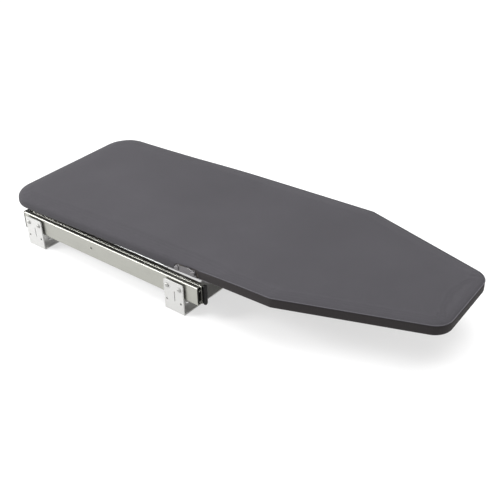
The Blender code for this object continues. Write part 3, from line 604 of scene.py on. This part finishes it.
def inflate(obj):
    """Cloth simulation: the top sheet lifts off the foam, held along the rim and the hem."""
    rest = points_of(obj.data)
    seam_height = CRISP_RIM[SEAM_RING][1]
    held = obj.vertex_groups.new(name="held")
    held.add([int(i) for i in np.nonzero(rest[:, 2] < seam_height + HELD_MARGIN)[0]], 1.0, "REPLACE")
    cloth = obj.modifiers.new("Cloth", "CLOTH")
    cloth.settings.use_pressure = True
    cloth.settings.uniform_pressure_force = PRESSURE
    cloth.settings.vertex_group_mass = "held"
    cloth.settings.effector_weights.gravity = 0.0
    cloth.settings.quality = CLOTH_QUALITY
    cloth.point_cache.frame_start = 1
    cloth.point_cache.frame_end = CLOTH_FRAMES
    for step in range(1, CLOTH_FRAMES + 1):
        bpy.context.scene.frame_set(step)
    bake(obj)
    bpy.context.scene.frame_set(1)
    travel = points_of(obj.data) - rest
    length = np.maximum(np.linalg.norm(travel, axis=1, keepdims=True), 1e-9)    # never divides by 0
    travel *= np.tanh(length / MAX_SWELL) * MAX_SWELL / length
    obj.data.vertices.foreach_set("co", (rest + travel).ravel())
    obj.vertex_groups.clear()


def ease(obj):
    """Shallow hollows of a used pad, and puckers where the seam draws the cloth in."""
    points = points_of(obj.data)
    for point in points:
        x, y, z = (float(c) for c in point)
        if z > HOLLOWS_ABOVE:
            broad, small = ripple(x, y, BROAD_HOLLOWS, 0.3), ripple(x, y, SMALL_HOLLOWS, 1.7)
            point[2] += HOLLOW * (broad + 0.5 * small)
        if PUCKER_BAND[0] < z < PUCKER_BAND[1]:
            point[2] += PUCKER * ripple(x, y, PUCKERS, 2.2)
    obj.data.vertices.foreach_set("co", points.ravel())
    obj.data.update()


def half_of(obj, word):
    """Copy of a whole-board mesh with only one half's faces, closed at the fold line."""
    bm = bmesh.new()
    bm.from_mesh(obj.data)
    sign = 1 if word == "front" else -1
    gone = [face for face in bm.faces if sign * (face.calc_center_median().x - FOLD) < 0]
    bmesh.ops.delete(bm, geom=gone, context="FACES")
    rim = [edge for edge in bm.edges if edge.is_boundary]
    # The front half's edge faces get the second, darker material: painted shade.
    if word == "front":
        low, high = PAINTED_SHADE_HEIGHTS
        for face in bm.faces:
            in_painted_shade = low < face.calc_center_median().z < high
            face.material_index = int(in_painted_shade and abs(face.normal.z) < PAINTED_SHADE_TILT)
    bmesh.ops.holes_fill(bm, edges=rim, sides=0)
    return bm


def padded_covers():
    """The sewn pad's two halves: foam and cover in one skin; the front one's edge has a darker cloth as
    painted shade.
    """
    form = pad_form()
    inflate(form)
    ease(form)
    smooth = form.modifiers.new("Smooth", "SUBSURF")
    smooth.levels = smooth.render_levels = 1
    bake(form)
    made = {}
    for word in ("rear", "front"):
        obj = make_object(f"{word}_padded_cover", half_of(form, word), MATERIALS["cover"])
        obj.data.materials.append(MATERIALS["side"])    # the darker cloth of painted shade; added before the cuts, which keep each face's own
        clear_hinges(obj)
        shade_smooth(obj.data, SMOOTH_UP_TO)
        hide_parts(f"{word}_cover", f"{word}_foam")
        made[word] = obj
    bpy.data.objects.remove(form)
    return made


def blend_half(obj, word):
    """Bake the object's placement into its mesh; both halves are treated alike."""
    if word == "rear":
        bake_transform(obj)
    else:
        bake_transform(obj)


def pipings():
    """Welt sewn along the rim's top edge; it sinks into the soft roll at the rear."""
    lines = []
    for turn in turns(PIPING_SIDES):
        outwards = PIPING_OUT + PIPING_RADIUS * math.cos(turn)
        upwards = PIPING_UP + PIPING_RADIUS * math.sin(turn)
        lines.append(rim_ring(SEAM_RING, outwards, upwards, PIPING_SUNK))
    made = {}
    for word in ("rear", "front"):
        bm = bmesh.new()
        loft(bm, lines, close_section=True)
        obj = make_object(f"{word}_piping", bm, MATERIALS["piping"])
        keep_half(obj, word == "front")
        shade_smooth(obj.data, SMOOTH_UP_TO)
        made[word] = obj
    return made


def add_stitch(bm, middle, run):
    """One stitch of thread, tapered into the cloth at both ends."""
    across = Vector((-run.y, run.x))
    rings = []
    for share, thick, rise in STITCH_SECTIONS:
        core = middle + run * (share * STITCH_LENGTH)
        ring = []
        for turn in turns(THREAD_SIDES):
            flat = core + across * (THREAD_RADIUS * thick * math.cos(turn))
            ring.append((flat.x, flat.y, STITCH_Z + rise + THREAD_RADIUS * thick * math.sin(turn)))
        rings.append(ring)
    loft(bm, rings, cap=True)


def stitches():
    """Running stitch that holds the hem down, seen from below; it stops at the hinge ears."""
    loop = outline(STITCH_INSET)
    made = {"rear": bmesh.new(), "front": bmesh.new()}
    clear_length = HEM_OPENING[1] + STITCH_LENGTH
    walked, due = 0.0, 0.0
    for a, b in zip(loop, loop[1:] + loop[:1]):
        length = (b - a).length
        while due < walked + length:
            middle = a.lerp(b, (due - walked) / length)
            due += STITCH_PITCH
            if abs(middle.x - FOLD) < clear_length and abs(middle.y) > BOARD_WIDTH / 4:
                continue
            add_stitch(made["front" if middle.x > FOLD else "rear"], middle, (b - a).normalized())
        walked += length
    for word, bm in made.items():
        obj = make_object(f"{word}_hem_stitches", bm, MATERIALS["thread"], smooth_up_to=60)
        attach(obj, f"{word}_board")


# ---- small hardware ------------------------------------------------------------------
SCREW_Z = -0.0006                            # a screw's own zero; its head starts a little above
SCREW_ALONG, SCREW_ACROSS = (0.020, 0.038), 0.138    # from the fold line and from the middle line
SCREW_PLACES = [(along, side * SCREW_ACROSS) for along in SCREW_ALONG for side in (-1, 1)]
SCREW_SIDES = 24
# Radius and height from the shank in the panel down to the rim of the head's recess.
SCREW_PROFILE = [(0.0016, 0.0095), (0.0016, 0.0003), (0.0036, 0.0003), (0.0035, -0.0004),
                 (0.0030, -0.0011), (0.0021, -0.0015), (0.0013, -0.0016)]
RECESS_CORE, RECESS_ARM = 0.0005, 0.0006     # radius of the cross between its arms, what an arm adds
RECESS_Z, RECESS_TAPER = -0.0007, 0.7        # the recess's floor, and its size beside the opening's


def screw_form():
    """Cross-recessed pan-head screw, head down."""
    bm = bmesh.new()
    angles = turns(SCREW_SIDES)
    made = loft(bm, [[(radius * math.cos(turn), radius * math.sin(turn), z) for turn in angles]
                     for radius, z in SCREW_PROFILE])
    bm.faces.new(made[0])
    recess, face_z = [], SCREW_PROFILE[-1][1]
    for turn in angles:
        radius = RECESS_CORE + RECESS_ARM * abs(math.cos(2 * turn)) ** 2
        recess.append(bm.verts.new((radius * math.cos(turn), radius * math.sin(turn), face_z)))
    bottom = [bm.verts.new((v.co.x * RECESS_TAPER, v.co.y * RECESS_TAPER, RECESS_Z)) for v in recess]
    bridge(bm, made[-1], recess)
    bridge(bm, recess, bottom)
    bm.faces.new(bottom)
    return bm


def hinge_screws():
    """The screws that hold the hinge angles under the panels."""
    for word, sign in (("rear", -1), ("front", 1)):
        for number, (along, y) in enumerate(SCREW_PLACES, 1):
            place = BOARD @ Matrix.Translation((FOLD + sign * along, y, SCREW_Z))
            name = f"{word}_hinge_screw_{number}"
            obj = make_object(name, screw_form(), MATERIALS["bright"], place, smooth_up_to=35)
            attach(obj, f"{word}_board")


# From the outer rail: how far the cap lies behind its end, then past its sides, bottom and top.
RAIL_CAP_BEHIND = (-0.0020, -0.0003)
RAIL_CAP_INWARDS, RAIL_CAP_OUTWARDS, RAIL_CAP_BELOW, RAIL_CAP_ABOVE = 0.0105, 0.0002, 0.0003, 0.0002
RAIL_CAP_RADIUS, RAIL_CAP_CHAMFER, RAIL_CAP_STEPS = 0.0022, 0.0006, 4


def rail_caps():
    """Moulded caps behind the rear ends of the rails; the near one mirrors the far one."""
    rail_low, rail_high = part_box("outer_rail_far")
    back, front = (rail_low[0] + behind for behind in RAIL_CAP_BEHIND)
    inner, outer = rail_low[1] - RAIL_CAP_INWARDS, rail_high[1] + RAIL_CAP_OUTWARDS
    low, high = rail_low[2] - RAIL_CAP_BELOW, rail_high[2] + RAIL_CAP_ABOVE
    corners = ((outer, high, 0), (inner, high, 90), (inner, low, 180), (outer, low, 270))
    for word, side in (("near", -1), ("far", 1)):
        loops = []
        for x, inset in ((back, RAIL_CAP_CHAMFER), (back + RAIL_CAP_CHAMFER, 0), (front, 0)):
            loop = []
            for y, z, start in corners:
                centre_y = y + (RAIL_CAP_RADIUS if y == inner else -RAIL_CAP_RADIUS)
                centre_z = z + (RAIL_CAP_RADIUS if z == low else -RAIL_CAP_RADIUS)
                reach = RAIL_CAP_RADIUS - inset
                for i in range(RAIL_CAP_STEPS + 1):
                    turn = math.radians(start + 90 * i / RAIL_CAP_STEPS)
                    across = side * (centre_y + reach * math.cos(turn))
                    loop.append((x, across, centre_z + reach * math.sin(turn)))
            loops.append(loop)
        bm = bmesh.new()
        loft(bm, loops, cap=True)
        obj = make_object(f"rail_cap_{word}", bm, MATERIALS["black"], Matrix.Identity(4), smooth_up_to=50)
        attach(obj, "base")


# ---- studio --------------------------------------------------------------------------
CAMERA_PLACE = (0.7345, -0.8949, 0.7544)
CAMERA_TURN, CAMERA_TILT, CAMERA_ROLL = (math.radians(a) for a in (-38.35, 31.91, -1.09))
CAMERA_LENS, CAMERA_SENSOR = 58.32, 36.0     # millimetres
WORLD_STRENGTH = 0.6
# Each area light's name, place, target, size and power.
LIGHTS = (("overhead", (0.2, 0.2, 2.2), (0.1, 0, 0), (2.6, 2.2), 86),
          ("right", (1.9, 0.2, 0.6), (0.2, 0, 0.1), (1.0, 1.0), 6),
          ("left", (-2.0, -1.1, 0.5), (-0.2, 0, 0.05), (0.8, 0.8), 30),
          ("front_left", (-1.3, -1.4, 1.4), (-0.1, 0, 0.05), (0.7, 0.7), 38))
FLOOR_REACH, FLOOR_GAP = 6.0, 0.0002         # its half side, and how far it lies under the brackets
FLOOR_ALBEDO, FLOOR_GLOW = 0.30, 0.62        # it gives off light, so that the shadow stays pale


def camera():
    """Camera that looks along +Y, turned about the upright, tilted down and rolled."""
    ahead = Vector((math.sin(CAMERA_TURN) * math.cos(CAMERA_TILT),
                    math.cos(CAMERA_TURN) * math.cos(CAMERA_TILT), -math.sin(CAMERA_TILT)))
    right = ahead.cross(Vector((0, 0, 1))).normalized()
    up = right.cross(ahead)
    turned_right = right * math.cos(CAMERA_ROLL) + up * math.sin(CAMERA_ROLL)
    turned_up = up * math.cos(CAMERA_ROLL) - right * math.sin(CAMERA_ROLL)
    data = bpy.data.cameras.new("camera")
    data.lens = CAMERA_LENS
    data.sensor_width = CAMERA_SENSOR
    obj = bpy.data.objects.new("camera", data)
    bpy.context.scene.collection.objects.link(obj)
    rotation = Matrix((turned_right, turned_up, -ahead)).transposed().to_4x4()
    obj.matrix_world = Matrix.Translation(CAMERA_PLACE) @ rotation
    bpy.context.scene.camera = obj


def area_light(name, place, target, size, power):
    data = bpy.data.lights.new(name, "AREA")
    data.shape = "RECTANGLE"
    data.size, data.size_y = size
    data.energy = power
    obj = bpy.data.objects.new(name, data)
    bpy.context.scene.collection.objects.link(obj)
    obj.location = place
    direction = Vector(target) - Vector(place)
    obj.rotation_euler = direction.to_track_quat("-Z", "Y").to_euler()


def floor():
    material, _, shader = new_material("lit_table", (FLOOR_ALBEDO,) * 3, 0.9)
    shader.inputs["Emission Color"].default_value = (1, 1, 1, 1)
    shader.inputs["Emission Strength"].default_value = FLOOR_GLOW
    bm = bmesh.new()
    bmesh.ops.create_grid(bm, x_segments=4, y_segments=4, size=FLOOR_REACH)
    under = Matrix.Translation((0, 0, CAD_BOUNDS[0][2] - FLOOR_GAP))
    make_object("floor", bm, material, under)


def studio():
    world = bpy.data.worlds.new("studio")
    world.use_nodes = True
    sky = world.node_tree.nodes["Background"]
    sky.inputs["Color"].default_value = (1, 1, 1, 1)
    sky.inputs["Strength"].default_value = WORLD_STRENGTH
    bpy.context.scene.world = world
    for light in LIGHTS:
        area_light(*light)
    floor()
    bpy.context.scene.view_settings.view_transform = "Standard"


def main():
    dress_cad_nodes()
    for pieces in (padded_covers(), pipings()):
        for word, obj in pieces.items():
            blend_half(obj, word)
    stitches()
    hinge_screws()
    rail_caps()
    camera()
    studio()


main()
